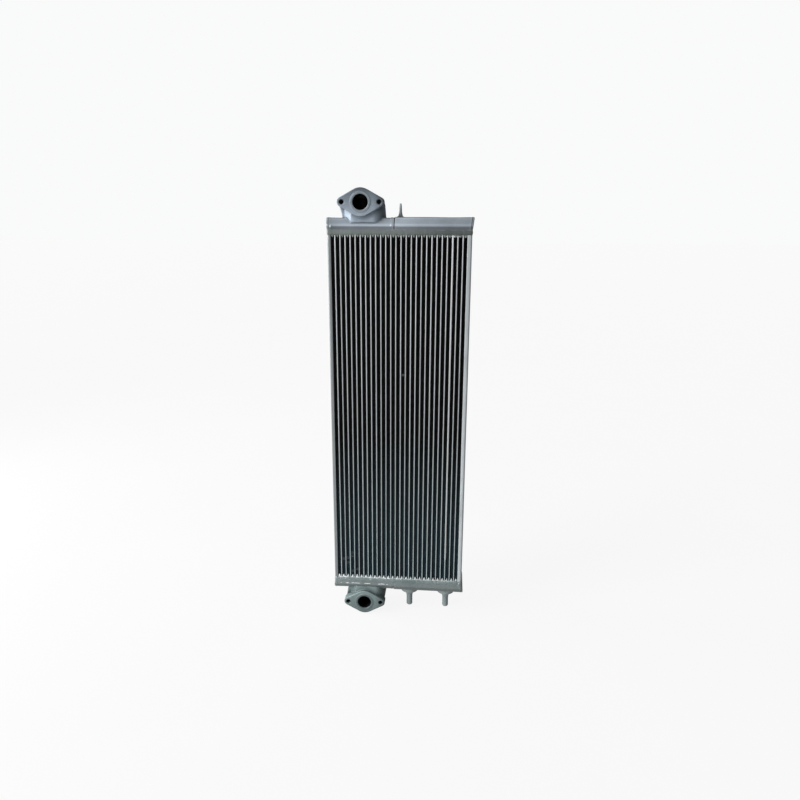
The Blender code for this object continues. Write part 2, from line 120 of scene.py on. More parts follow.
class Shell:
    """Closed skins that make up one piece, in places about the middle of the core."""

    def __init__(self):
        self.points = []
        self.faces = []
        self.slots = []

    def skin(self, rings, ends="face", closed=False, slot=0):
        """Joins rings of equal count. An end is one face, or a strip for a folded band."""
        first = len(self.points)
        count = len(rings[0])
        for ring in rings:
            self.points.extend(ring)
        before = len(self.faces)
        joins = len(rings) if closed else len(rings) - 1
        for row in range(joins):
            a, b = first + row * count, first + (row + 1) % len(rings) * count
            for i in range(count):
                j = (i + 1) % count
                self.faces.append((a + i, a + j, b + j, b + i))
        if not closed:
            for start in (first, first + (len(rings) - 1) * count):
                if ends == "face":
                    self.faces.append(tuple(start + i for i in range(count)))
                    continue
                for i in range(count // 2 - 1):
                    other = count - 1 - i
                    self.faces.append((start + i, start + i + 1, start + other - 1, start + other))
        self.slots += [slot] * (len(self.faces) - before)

    def lathe(self, profile, centre, axis, segments=48):
        """Turns a closed profile of (radius, height) round an axis through centre."""
        turn = Vector((0, 0, 1)).rotation_difference(Vector(axis)).to_matrix()
        rings = []
        for step in range(segments):
            angle = math.tau * step / segments
            across = Vector((math.cos(angle), math.sin(angle), 0))
            rings.append([centre + turn @ (across * r + Vector((0, 0, h))) for r, h in profile])
        self.skin(rings, closed=True)


def link(obj):
    bpy.context.scene.collection.objects.link(obj)
    return obj


def outward(mesh):
    bm = bmesh.new()
    bm.from_mesh(mesh)
    bmesh.ops.recalc_face_normals(bm, faces=bm.faces)
    bm.to_mesh(mesh)
    bm.free()


def declare(obj, nodes):
    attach(obj, "root")
    if nodes:
        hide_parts(*nodes)
    return obj


def piece(name, shell, materials, nodes=(), smooth=40):
    mesh = bpy.data.meshes.new(name)
    mesh.from_pydata([CENTRE + point for point in shell.points], [], shell.faces)
    for material in materials:
        mesh.materials.append(material)
    mesh.polygons.foreach_set("material_index", shell.slots)
    outward(mesh)
    mesh.shade_smooth()
    mesh.set_sharp_from_angle(angle=math.radians(smooth))
    return declare(link(bpy.data.objects.new(name, mesh)), nodes)


def softened(name, node, voxel, rounds, material):
    """A CAD piece as a casting: remeshed evenly and smoothed, so that all its edges are rounded."""
    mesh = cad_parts[node].data.copy()
    obj = link(bpy.data.objects.new(name, mesh))
    remesh = obj.modifiers.new("even mesh", "REMESH")
    remesh.mode = "VOXEL"
    remesh.voxel_size = voxel
    relax = obj.modifiers.new("rounded", "SMOOTH")
    relax.factor = 0.5
    relax.iterations = rounds
    done = bpy.data.meshes.new_from_object(obj.evaluated_get(bpy.context.evaluated_depsgraph_get()))
    obj.modifiers.clear()
    obj.data = done
    done.name = name
    done.materials.clear()
    done.materials.append(material)
    done.shade_smooth()
    return declare(obj, (node,))


def rough(point, size, amount, seed=0.0):
    """Smooth random height at a point, for dents and weld texture."""
    return amount * noise.noise(point / size + Vector((seed, seed * 0.7, -seed)))


def spaced(points, step, closed=False):
    """Even steps along a line of (place, outward direction)."""
    line = list(points) + ([points[0]] if closed else [])
    lengths = [0.0]
    for (a, _), (b, _) in zip(line, line[1:]):
        lengths.append(lengths[-1] + (b - a).length)
    count = max(8, round(lengths[-1] / step))
    result, at = [], 0
    for i in range(count if closed else count + 1):
        target = lengths[-1] * i / count
        while at < len(line) - 2 and lengths[at + 1] < target:
            at += 1
        span = max(lengths[at + 1] - lengths[at], 1e-9)
        share = (target - lengths[at]) / span
        (a, na), (b, nb) = line[at], line[at + 1]
        result.append((a.lerp(b, share), na.lerp(nb, share).normalized()))
    return result


def bead(shell, points, width, height, pitch=0.0024, closed=False, seed=0.0, sink=0.0012):
    """A weld bead along a line: a low rounded cord with ripples one pitch apart."""
    path = spaced(points, pitch / 4, closed)
    arc_steps = 8
    rings = []
    for i, (place, out) in enumerate(path):
        before = path[i - 1][0] if i or closed else place
        after = path[(i + 1) % len(path)][0] if i + 1 < len(path) or closed else place
        along = (after - before).normalized()
        side = along.cross(out).normalized()
        phase = math.pi * i / 4
        swell = 1 + 0.10 * abs(math.sin(phase)) + rough(place, 0.006, 0.30, seed)
        fade = 1.0
        if not closed:
            end = min(i, len(path) - 1 - i)
            fade = min(1.0, 0.35 + end / 8)
        half, top = width / 2 * swell * fade, height * swell * fade
        ring = []
        for step in range(arc_steps + 1):
            angle = math.pi * step / arc_steps
            across = math.cos(angle)
            lag = pitch * 0.5 * (1 - across * across)
            ring.append(place + side * half * across + out * top * math.sin(angle) + along * lag)
        ring.append(place - side * half * 0.9 - out * sink)
        ring.append(place + side * half * 0.9 - out * sink)
        rings.append(ring)
    shell.skin(rings, closed=closed)


# ---- materials ---------------------------------------------------------------------------------------


class Finish:
    """A material whose colour, roughness and relief come from procedural nodes."""

    def __init__(self, name, metallic, coat=0.0, coat_roughness=0.2):
        self.material = bpy.data.materials.new(name)
        self.material.use_nodes = True
        self.tree = self.material.node_tree
        self.shader = self.tree.nodes["Principled BSDF"]
        self.shader.inputs["Metallic"].default_value = metallic
        self.shader.inputs["Coat Weight"].default_value = coat
        self.shader.inputs["Coat Roughness"].default_value = coat_roughness
        self.place = self.node("ShaderNodeTexCoord").outputs["Object"]

    def node(self, kind, **settings):
        node = self.tree.nodes.new(kind)
        for name, value in settings.items():
            setattr(node, name, value)
        return node

    def plug(self, node, name, value):
        socket = node.inputs[name]
        if isinstance(value, bpy.types.NodeSocket):
            self.tree.links.new(value, socket)
        else:
            socket.default_value = value

    def stretched(self, scale):
        mapping = self.node("ShaderNodeMapping")
        self.plug(mapping, "Vector", self.place)
        self.plug(mapping, "Scale", scale)
        return mapping.outputs["Vector"]

    def noise(self, scale, detail=3.0, roughness=0.55, stretch=None, distortion=0.0):
        node = self.node("ShaderNodeTexNoise")
        self.plug(node, "Vector", self.stretched(stretch) if stretch else self.place)
        self.plug(node, "Scale", scale)
        self.plug(node, "Detail", detail)
        self.plug(node, "Roughness", roughness)
        self.plug(node, "Distortion", distortion)
        return node.outputs["Fac"]

    def maths(self, operation, a, b=0.0, c=0.0, clamp=False):
        node = self.node("ShaderNodeMath", operation=operation, use_clamp=clamp)
        for i, value in enumerate((a, b, c)):
            self.plug(node, i, value)
        return node.outputs[0]

    def axis(self, name):
        node = self.node("ShaderNodeSeparateXYZ")
        self.plug(node, "Vector", self.place)
        return node.outputs[name]

    def between(self, value, low, high, to_low=0.0, to_high=1.0):
        node = self.node("ShaderNodeMapRange", clamp=True)
        for name, setting in zip(
            ("Value", "From Min", "From Max", "To Min", "To Max"),
            (value, low, high, to_low, to_high),
        ):
            self.plug(node, name, setting)
        return node.outputs["Result"]

    def ramp(self, value, stops):
        node = self.node("ShaderNodeValToRGB")
        elements = node.color_ramp.elements
        while len(elements) < len(stops):
            elements.new(0.5)
        for element, (position, colour) in zip(elements, stops):
            element.position = position
            element.color = (*colour, 1)
        self.plug(node, "Fac", value)
        return node.outputs["Color"]

    def grey(self, value):
        node = self.node("ShaderNodeCombineColor")
        for name in ("Red", "Green", "Blue"):
            self.plug(node, name, value)
        return node.outputs["Color"]

    def mix(self, share, a, b, blend="MIX"):
        node = self.node("ShaderNodeMix", data_type="RGBA", blend_type=blend)
        self.plug(node, 0, share)
        self.plug(node, 6, a if isinstance(a, bpy.types.NodeSocket) else (*a, 1))
        self.plug(node, 7, b if isinstance(b, bpy.types.NodeSocket) else (*b, 1))
        return node.outputs[2]

    def edges(self, low=0.52, high=0.60):
        """1 on worn outer edges, from the shape itself."""
        pointed = self.node("ShaderNodeNewGeometry").outputs["Pointiness"]
        return self.between(pointed, low, high)

    def hollows(self, distance=0.012, power=1.5):
        """1 in the open, towards 0 in corners and hollows, where grime gathers and shade falls."""
        node = self.node("ShaderNodeAmbientOcclusion", samples=4)
        self.plug(node, "Distance", distance)
        return self.maths("POWER", node.outputs["AO"], power)

    def relief(self, *layers):
        """Bump from (height, distance) layers, one over the other."""
        normal = None
        for height, distance in layers:
            bump = self.node("ShaderNodeBump")
            self.plug(bump, "Height", height)
            self.plug(bump, "Distance", distance)
            self.plug(bump, "Strength", 1.0)
            if normal:
                self.plug(bump, "Normal", normal)
            normal = bump.outputs["Normal"]
        self.plug(self.shader, "Normal", normal)

    def finish(self, colour, roughness):
        self.plug(self.shader, "Base Color", colour)
        self.plug(self.shader, "Roughness", roughness)
        return self.material


def srgb(red, green, blue):
    """Linear colour of an 8 bit screen colour."""
    return tuple(((c / 255 + 0.055) / 1.055) ** 2.4 for c in (red, green, blue))


def paint(name, light, dark, grain, grain_depth, levels=(), columns=(), hollow_darkening=1.0):
    """Silver-grey paint over rough metal.

    levels = (z, share) and columns = (x, share) darken it by height and from left to right, as painted light
    and shade.
    """
    finish = Finish(name, 0.30, coat=0.10, coat_roughness=0.35)
    patches = finish.noise(9.0, 4.0, 0.6)
    colour = finish.ramp(patches, [(0.30, dark), (0.68, light)])
    for axis, middle, stops in (("Z", CENTRE.z, levels), ("X", CENTRE.x, columns)):
        if stops:
            start, end = stops[0][0], stops[-1][0]
            along = finish.between(finish.axis(axis), start + middle, end + middle)
            tones = [((at - start) / (end - start), (share,) * 3) for at, share in stops]
            colour = finish.mix(1.0, colour, finish.ramp(along, tones), "MULTIPLY")
    speckle = finish.ramp(finish.noise(900.0, 2.0, 0.6), [(0.3, (0.35,) * 3), (0.7, (0.65,) * 3)])
    colour = finish.mix(0.35, colour, speckle, "SOFT_LIGHT")
    wear = finish.maths("MULTIPLY", finish.edges(), 0.25)
    colour = finish.mix(wear, colour, srgb(205, 210, 212))
    # darker in corners and hollows, as grime and painted shade
    dirt_and_shade = finish.maths("SUBTRACT", 1.0, finish.hollows(), clamp=True)
    colour = finish.mix(finish.maths("MULTIPLY", dirt_and_shade, hollow_darkening), colour, srgb(38, 42, 42))
    finish.relief(
        (finish.noise(grain, 3.0, 0.6), grain_depth),
        (finish.noise(60.0, 2.0), 0.0004),
    )
    roughness = finish.between(finish.noise(35.0, 5.0, 0.65), 0.3, 0.7, 0.42, 0.60)
    return finish.finish(colour, roughness)


def bar_metal():
    """Brazed aluminium: each bar a little different, drawn lengthways, and painted lighter towards the top,
    where the light falls.
    """
    finish = Finish("brazed_bar_aluminium", 0.15)
    # painted light: lighter towards the top
    height = finish.between(finish.axis("Z"), -CORE.z, CORE.z)
    colour = finish.ramp(
        height, [(0.0, srgb(190, 206, 210)), (0.5, srgb(208, 214, 216)), (1.0, srgb(246, 249, 251))]
    )
    number = finish.maths("FLOOR", finish.maths("DIVIDE", finish.axis("X"), PITCH))
    each = finish.node("ShaderNodeTexWhiteNoise", noise_dimensions="1D")
    finish.plug(each, "W", number)
    tone = finish.between(each.outputs["Value"], 0, 1, 0.80, 1.0)
    colour = finish.mix(1.0, colour, finish.grey(tone), "MULTIPLY")
    streaks = finish.noise(1.0, 4.0, 0.6, (2500.0, 2500.0, 7.0))
    drawn = finish.ramp(streaks, [(0.3, (0.30,) * 3), (0.7, (0.70,) * 3)])
    colour = finish.mix(0.30, colour, drawn, "SOFT_LIGHT")
    stains = finish.between(finish.noise(1.0, 5.0, 0.65, (90.0, 90.0, 9.0)), 0.54, 0.72)
    colour = finish.mix(finish.maths("MULTIPLY", stains, 0.35), colour, srgb(132, 138, 138))
    finish.relief((streaks, 0.00003), (finish.noise(420.0, 3.0), 0.00005))
    roughness = finish.between(finish.noise(55.0, 4.0, 0.7), 0.3, 0.7, 0.34, 0.52)
    return finish.finish(colour, roughness)


def sheet_metal():
    """Parting sheets: the same metal, painted nearly black as the shade where they fall back behind the bars.
    """
    finish = Finish("parting_sheet_aluminium", 0.5)
    streaks = finish.noise(1.0, 4.0, 0.7, (600.0, 200.0, 20.0))
    # painted shade: near black where the sheets sit back between the bars
    colour = finish.ramp(streaks, [(0.3, srgb(24, 29, 32)), (0.7, srgb(46, 52, 55))])
    finish.relief((streaks, 0.00006))
    return finish.finish(colour, finish.between(finish.noise(80.0, 4.0), 0.3, 0.7, 0.45, 0.62))


def fin_metal(name, low, high):
    """Thin fin stock, painted almost black as the shade in the depth of the passages, and lighter towards the
    bottom.
    """
    finish = Finish(name, 0.20)
    height = finish.between(finish.axis("Z"), -CORE.z, CORE.z)
    # painted shade: near black high up, lighter towards the bottom
    colour = finish.ramp(height, [(0.0, low), (0.16, low), (0.45, high), (1.0, high)])
    dust = finish.between(finish.noise(70.0, 6.0, 0.75), 0.5, 0.75)
    dust = finish.maths("MULTIPLY", dust, finish.between(height, 0.2, 0.9, 0.30, 0.04))
    colour = finish.mix(dust, colour, srgb(70, 78, 82))
    finish.relief((finish.noise(600.0, 2.0), 0.00005))
    return finish.finish(colour, finish.between(finish.noise(90.0, 3.0), 0.3, 0.7, 0.40, 0.62))


def plate_metal():
    """Rolled side plate: fine lengthways grain, scuffs, pale worn edges, and painted shade that darkens it
    towards the left.
    """
    finish = Finish("rolled_plate_aluminium", 0.40)
    grain = finish.noise(1.0, 5.0, 0.7, (700.0, 700.0, 9.0))
    colour = finish.ramp(grain, [(0.25, srgb(200, 208, 210)), (0.75, srgb(232, 239, 241))])
    # painted shade: the left plate is darker than the right
    tone = finish.between(finish.axis("X"), CENTRE.x - HALF_STACK, CENTRE.x + HALF_STACK, 0.42, 1.0)
    colour = finish.mix(1.0, colour, finish.grey(tone), "MULTIPLY")
    scuffs = finish.between(finish.noise(16.0, 8.0, 0.75, (1, 1, 0.25)), 0.55, 0.66)
    colour = finish.mix(finish.maths("MULTIPLY", scuffs, 0.3), colour, srgb(120, 128, 130))
    colour = finish.mix(finish.maths("MULTIPLY", finish.edges(), 0.6), colour, srgb(232, 234, 234))
    finish.relief((grain, 0.0001), (finish.noise(45.0, 3.0), 0.0003))
    return finish.finish(colour, finish.between(finish.noise(22.0, 5.0, 0.7), 0.3, 0.7, 0.26, 0.46))


def machined_metal(name, dark, light):
    """Turned metal with fine tool marks and smears."""
    finish = Finish(name, 0.4)
    marks = finish.noise(1500.0, 4.0, 0.6)
    colour = finish.ramp(marks, [(0.3, dark), (0.7, light)])
    smears = finish.between(finish.noise(120.0, 4.0, 0.7), 0.5, 0.7)
    colour = finish.mix(finish.maths("MULTIPLY", smears, 0.5), colour, dark)
    finish.relief((marks, 0.00005))
    return finish.finish(colour, finish.between(finish.noise(200.0, 3.0), 0.3, 0.7, 0.42, 0.60))


def bore_shade_metal():
    """Inside of a port: cast metal painted nearly black as the shade in its passages."""
    finish = Finish("painted_bore_shade", 0.2)
    mottle = finish.noise(160.0, 4.0, 0.65)
    colour = finish.ramp(mottle, [(0.3, srgb(10, 11, 12)), (0.7, srgb(30, 33, 32))])
    finish.relief((mottle, 0.0002))
    return finish.finish(colour, finish.between(mottle, 0.3, 0.7, 0.35, 0.60))


BAR = bar_metal()
SHEET = sheet_metal()
# the fin stock is painted shade; the bent fins keep the lighter colour of the metal where they are bent out
# into the light
FIN = fin_metal("fin_stock", srgb(50, 74, 82), srgb(5, 6, 8))
BENT_FIN = fin_metal("bent_fin_stock", srgb(150, 162, 166), srgb(150, 160, 164))
PLATE_METAL = plate_metal()
# painted shade: the bottom land is a darker copy of the top one
MACHINED_TOP = machined_metal("machined_top_land", srgb(118, 130, 138), srgb(168, 178, 186))
MACHINED_BOTTOM = machined_metal("machined_bottom_land", srgb(92, 106, 110), srgb(132, 146, 150))
# painted shade: the threads are darkened as the shade deep in the bolt holes
THREAD = machined_metal("tapped_aluminium", srgb(34, 38, 40), srgb(74, 80, 82))
BORE_SHADE = bore_shade_metal()
CREST = TANK_FOOT + PORT_RISE
CROWN = local_box("top_port")[1].z
FLANK_SHADE = ((PORT_X + 0.026, 1.0), (PORT_X + 0.0445, 0.40))  # painted shade: the castings' right flanks are painted darker


def top_tank_paint(name, rise):
    """Painted shade on the wall, a painted highlight on the bend, an even shoulder, and at the crest a
    painted highlight line and a painted dark outline.
    """
    return paint(
        name, srgb(214, 226, 238), srgb(188, 200, 211), 300.0, 0.0003,
        levels=(
            (TANK_FOOT + 0.0080, 0.36), (TANK_FOOT + 0.0108, 0.95), (TANK_FOOT + 0.0135, 0.95),
            (TANK_FOOT + 0.0160, 0.76), (TANK_FOOT + rise - 0.0050, 0.80), (TANK_FOOT + rise - 0.0030, 1.0),
            (TANK_FOOT + rise - 0.0012, 0.70), (TANK_FOOT + rise - 0.0004, 0.22),
        ),
        # painted shade: darker towards both ends of the tank
        columns=((-0.145, 0.62), (-0.100, 0.86), (-0.030, 0.92), (0.010, 1.0), (0.060, 0.74), (0.140, 0.68)),
    )


TOP_PAINT = {
    "port": top_tank_paint("tank_paint_top_port", PORT_RISE),
    "plain": top_tank_paint("tank_paint_top_plain", PLAIN_RISE),
}


def bottom_tank_paint(name, rise):
    """Even wall, with the underside painted paler as painted light coming back up from the floor."""
    return paint(
        name, srgb(233, 246, 247), srgb(203, 219, 219), 420.0, 0.0009,
        levels=(
            (-TANK_FOOT - rise, 0.56), (-TANK_FOOT - rise + 0.0030, 0.50), (-TANK_FOOT - rise + 0.0080, 0.40),
            (-TANK_FOOT - rise + 0.0140, 0.385),
        ),
    )


BOTTOM_PAINT = {
    "port": bottom_tank_paint("tank_paint_bottom_port", PORT_RISE),
    "plain": bottom_tank_paint("tank_paint_bottom_plain", PLAIN_RISE),
}
# painted shade: each casting darkens towards its crown, away from the tank
CAST_TOP = paint(
    "cast_paint_top", srgb(186, 201, 216), srgb(158, 172, 186), 420.0, 0.0006,
    levels=((CREST - 0.004, 1.0), (CREST + 0.006, 0.92), (CROWN - 0.012, 0.42), (CROWN, 0.20)),
    columns=FLANK_SHADE,
)
CAST_BOTTOM = paint(
    "cast_paint_bottom", srgb(164, 181, 181), srgb(137, 156, 156), 420.0, 0.0006,
    levels=((-CROWN, 0.42), (0.012 - CROWN, 0.66), (-CREST, 0.95), (0.004 - CREST, 1.0)),
    columns=FLANK_SHADE,
)
LUG_PAINT = paint("lug_paint", srgb(196, 205, 210), srgb(168, 178, 184), 420.0, 0.0006)
PIN_PAINT = paint(
    "pin_paint", srgb(214, 229, 231), srgb(186, 202, 203), 420.0, 0.0006,
    levels=((-TANK_FOOT - PLAIN_RISE - 0.024, 0.64), (-TANK_FOOT - PLAIN_RISE - 0.004, 0.76)), hollow_darkening=0.5,
)
# painted shade: the top weld darkens towards the right end
WELD_TOP = paint(
    "weld_paint_top", srgb(136, 145, 143), srgb(104, 113, 111), 700.0, 0.0010,
    columns=((-0.04, 1.0), (0.10, 0.62)),
)
NOSE_TOP = paint("nose_paint_top", srgb(164, 173, 171), srgb(134, 143, 141), 700.0, 0.0006, hollow_darkening=0.6)
FOOT_WELD = paint("foot_weld_paint", srgb(150, 160, 170), srgb(118, 128, 138), 700.0, 0.0010)
WELD_BOTTOM = paint("weld_paint_bottom", srgb(156, 170, 170), srgb(126, 142, 142), 700.0, 0.0012)
# painted highlights: pale weld colours for the light that the welds and bottom noses catch; the bright weld
# also darkens towards the right as painted shade
DULL_WELD = paint("dull_weld", srgb(206, 220, 218), srgb(170, 186, 184), 500.0, 0.0008)
BRIGHT_WELD = paint(
    "bright_weld", srgb(252, 255, 255), srgb(226, 238, 238), 500.0, 0.0005,
    columns=((-0.02, 1.0), (0.10, 0.72)), hollow_darkening=0.3,
)


# ---- core --------------------------------------------------------------------------------------------


def rounded_rectangle(low, high, radius, steps=3):
    """Outline in X and Y, as a list of pairs."""
    outline = []
    corners = (
        (high[0] - radius, low[1] + radius, -90),
        (high[0] - radius, high[1] - radius, 0),
        (low[0] + radius, high[1] - radius, 90),
        (low[0] + radius, low[1] + radius, 180),
    )
    for x, y, start in corners:
        for step in range(steps + 1):
            angle = math.radians(start + 90 * step / steps)
            outline.append((x + radius * math.cos(angle), y + radius * math.sin(angle)))
    return outline


def rounded_loop(low, high, radius, steps=8):
    """A rounded rectangle in X and Y as (x, y, outward direction)."""
    line = []
    for x, y in rounded_rectangle(low, high, radius, steps):
        inner_x = min(max(x, low[0] + radius), high[0] - radius)
        inner_y = min(max(y, low[1] + radius), high[1] - radius)
        line.append((x, y, Vector((x - inner_x, y - inner_y, 0)).normalized()))
    return line


def build_bars():
    """Oil channels: a parting sheet each side, and a long bar closing the front and the back."""
    bars, sheets = Shell(), Shell()
    sheet = SHEET_THICKNESS
    inset = sheet * 1.7  # braze hides the edges of each bar
    bar_depth = 0.008
    levels = 30
    heights = [-CORE.z + 2 * CORE.z * level / levels for level in range(levels + 1)]
    for channel in range(len(FINS) - 1):
        left = FINS[channel][1].x + GAP
        right = FINS[channel + 1][0].x - GAP
        sway = [rough(Vector((channel * 3.1, 0, z)), 0.40, 0.0001) for z in heights]
        bar = (left + inset, right - inset)
        proud = rough(Vector((channel, 0.3, 0)), 0.6, 0.0005)
        for side in (-1, 1):
            ends = sorted((side * (CORE.y - 0.0001 + proud), side * (CORE.y - bar_depth)))
            outline = rounded_rectangle((bar[0], ends[0]), (bar[1], ends[1]), 0.0007)
            bars.skin([[Vector((x + dx, y, z)) for x, y in outline] for dx, z in zip(sway, heights)])
        for low, high in ((left, left + sheet), (right - sheet, right)):
            depth = CORE.y - 0.0012
            outline = rounded_rectangle((low, -depth), (high, depth), 0.00025, 2)
            sheets.skin([[Vector((x + dx, y, z)) for x, y in outline] for dx, z in zip(sway, heights)])
    piece("oil_channel_bars", bars, [BAR], ("brazed_core",))
    piece("parting_sheets", sheets, [SHEET])


def build_end_bars(side, material, name, plump, reach):
    """The V-nosed bars that close one end of every air passage, with braze heaped over them.

    plump rounds the V, and reach lengthens it.
    """
    shell = Shell()
    steps = 7
    for number, (low, high) in enumerate(FINS):
        left, right = low.x - GAP - 0.0002, high.x + GAP + 0.0002
        middle = (left + right) / 2 + rough(Vector((number * 1.7, side, 0)), 0.8, 0.0005)
        tip = NOSE * reach * (1 + rough(Vector((number * 2.3, side, 5)), 0.7, 0.20))
        outline = [(left, CORE.z), (left, TEETH - 0.0002)]
        for step in range(1, 2 * steps):
            across = step / steps - 1
            rise = tip * (1 - abs(across)) ** (1 / plump)
            outline.append((middle + across * (middle - left), TEETH - min(rise, tip)))
        outline += [(right, TEETH - 0.0002), (right, CORE.z)]
        rings = []
        depth = CORE.y - 0.0002
        for y, inset in (
            (-depth, 0.0012), (-depth + 0.0003, 0.0005), (-depth + 0.0010, 0.0001),
            (-0.03, 0), (0, 0), (0.03, 0),
            (depth - 0.0010, 0.0001), (depth - 0.0003, 0.0005), (depth, 0.0012),
        ):
            pull = inset / 0.003
            ring = []
            for x, z in outline:
                x += (middle - x) * pull
                z += (CORE.z - 0.004 - z) * pull
                lump = rough(Vector((x, y, z)), 0.0022, 0.0005, side)
                ring.append(Vector((x + lump * 0.5, y, side * (z + lump))))
            rings.append(ring)
        shell.skin(rings)
    piece(name, shell, [material], smooth=50)


FOLD = 0.0030  # one full fold of the fins
FIN_THICKNESS = 0.00022
FRONT_ROW, LONG_ROW = 0, 1
WAVE = 0.0034  # drop of the long row's middle at the top of the core
# heights of the folds that are bent over, by fin
BENT = {3: (-0.335, -0.343, -0.382), 2: (-0.349, -0.361), 4: (-0.378,), 1: (-0.352,), 14: (0.1,)}


def build_fin(number):
    """A folded fin of three offset rows: a short one at each face and a long one between."""
    low, high = (corner.copy() for corner in FINS[number])
    low.z, high.z = GAP - TEETH, TEETH - GAP  # its last folds lie beside the noses
    left, right = low.x - GAP * 0.7, high.x + GAP * 0.7
    shell = Shell()
    folds = int((high.z - low.z) / FOLD)
    row_depth = 0.012
    rows = (
        (low.y, low.y + row_depth, 0.0),
        (low.y + row_depth + 0.0004, high.y - row_depth - 0.0004, 0.5),
        (high.y - row_depth, high.y, 0.0),
    )
    for row, (front, back, shift) in enumerate(rows):
        crests = []
        phase = rough(Vector((number * 5.3, 0, 0)), 0.9, 0.5)
        for half in range(2 * folds - 1):
            z = low.z + FOLD * (half + 1 + shift + phase * 0.4) / 2
            x = left if half % 2 else right
            step = FOLD * 0.16
            z += rough(Vector((number, row, z)), 0.01, 0.0005)
            crests += [(x, z - step), (x, z + step)]
        crests = [(x, min(max(z, low.z), high.z)) for x, z in crests]
        ring = []
        for offset in (FIN_THICKNESS / 2, -FIN_THICKNESS / 2):
            line = []
            for i, (x, z) in enumerate(crests):
                towards = 1 if x == left else -1
                inner = x + towards * (FIN_THICKNESS / 2 + offset * -towards)
                rise = 1 if (i % 2 == 0) else -1
                line.append((inner, z + offset * towards * rise))
            ring.append(line)
        outline = ring[0] + ring[1][::-1]
        depths = [front, back]
        if row == FRONT_ROW:
            depths.insert(1, front + 0.0025)
        elif row == LONG_ROW:
            depths.insert(1, (front + back) / 2)
        rings = []
        for level, y in enumerate(depths):
            points = []
            for x, z in outline:
                if row == LONG_ROW and level == 1:  # wavy, so nobody looks straight through it
                    z -= WAVE * (z - low.z) / (high.z - low.z)
                crushed = 0.0
                if row == FRONT_ROW and level == 0:
                    for place in BENT.get(number, ()):
                        crushed = max(crushed, 1 - abs(z - place) / 0.004)
                points.append(Vector((x, y - 0.0012 * crushed, z + 0.0022 * crushed)))
            rings.append(points)
        shell.skin(rings, ends="strip")
    for index, face in enumerate(shell.faces):
        centre = sum((shell.points[i] for i in face), Vector()) / len(face)
        if centre.y < low.y + 0.002:
            near = [abs(centre.z - place) for place in BENT.get(number, ())]
            shell.slots[index] = 1 if near and min(near) < 0.003 else 0
    piece(
        f"folded_fin_{number + 1:02d}", shell, [FIN, BENT_FIN],
        (f"air_fin_{number + 1:02d}",), smooth=30,
    )


def build_side_plates():
    """Rolled plates: the outer edges are well rounded, and the ends are rounded over."""
    for end, name in ((-1, "left"), (1, "right")):
        low, high = PLATES[end]
        near, far = sorted((abs(low.x), abs(high.x)))
        thickness = far - near
        inner, outer = 0.0008, thickness * 0.40
        outline = []
        for x, y, radius, start in (
            (far - outer, low.y + outer, outer, -90),
            (far - outer, high.y - outer, outer, 0),
            (near + inner, high.y - inner, inner, 90),
            (near + inner, low.y + inner, inner, 180),
        ):
            for step in range(7):
                angle = math.radians(start + 90 * step / 6)
                outline.append((x + radius * math.cos(angle), y + radius * math.sin(angle)))
        middle = (near + far) / 2
        top = TEETH - 0.0010
        levels = [(-top + 2 * top * level / 40, 0.0) for level in range(41)]
        crown = [
            (top + thickness * rise, inset) for rise, inset in ((0.25, 0.06), (0.42, 0.22), (0.5, 0.5))
        ]
        levels += crown
        levels = [(-z, inset) for z, inset in reversed(crown)] + levels
        shell = Shell()
        rings = []
        for z, inset in levels:
            bow = rough(Vector((end * 2, 0, z)), 0.16, 0.0003)
            rings.append([
                Vector((end * (x + (middle - x) * inset) + bow * (y < 0), y * (1 - inset * 0.02), z))
                for x, y in outline
            ])
        shell.skin(rings)
        piece(
            f"rolled_side_plate_{name}", shell, [PLATE_METAL],
            (f"side_plate_{name}",), smooth=50,
        )


# ---- tanks -------------------------------------------------------------------------------------------


def tank_line(rise, inset=0.0, steps=8):
    """A tank's bent wall as (y, height above its foot), from its front edge to its back edge."""
    half = TANK_HALF_DEPTH - inset
    bend = rise - SHOULDER - inset * math.tan(math.radians(22.5))
    crest = rise - inset
    run = crest - bend
    corners = [(-half, 0), (-half, bend), (-half + run, crest)]
    corners += [(-y, z) for y, z in reversed(corners)]
    radius = max(BEND_RADIUS - inset, 0.001)
    line = []
    for level in range(4):
        line.append((-half, bend * 0.85 * level / 4))
    for before, corner, after in zip(corners, corners[1:], corners[2:]):
        corner = Vector(corner)
        back = (Vector(before) - corner).normalized()
        ahead = (Vector(after) - corner).normalized()
        half_angle = back.angle(ahead) / 2
        centre = corner + (back + ahead).normalized() * radius / math.sin(half_angle)
        first = corner + back * radius / math.tan(half_angle) - centre
        sweep = first.angle_signed(corner + ahead * radius / math.tan(half_angle) - centre)
        for step in range(steps + 1):
            line.append(tuple(centre + Matrix.Rotation(-sweep * step / steps, 2) @ first))
        # this also holds at the back corner, where it wrongly adds a ledge over the shoulder
        if before[0] < 0 < after[0]:
            for share in (0.1, 0.3, 0.5, 0.7, 0.9):
                line.append((corner.x + (after[0] - corner.x) * share, crest))
    for level in reversed(range(4)):
        line.append((half, bend * 0.85 * level / 4))
    return line


def leaned(x, end, height):
    """x of a tank's end at a height above its foot; the ends lean outwards."""
    return x + math.copysign(END_LEAN * height, end)


def edge_bead_line(line, side, x_at, sink):
    """A weld line round a tank's bent wall, at the x that x_at gives for each height."""
    path = []
    for (y, height), (y2, height2) in zip(line, line[1:]):
        out = Vector((0, height - height2, y2 - y)).normalized()
        out = Vector((0, out.y, side * out.z))
        path.append((Vector((x_at(height), y, side * (TANK_FOOT + height))) - out * sink, out))
    return path


CREVICE = {1: 0.0010, -1: 0.0004}  # half of the open gap between a tank's two sections


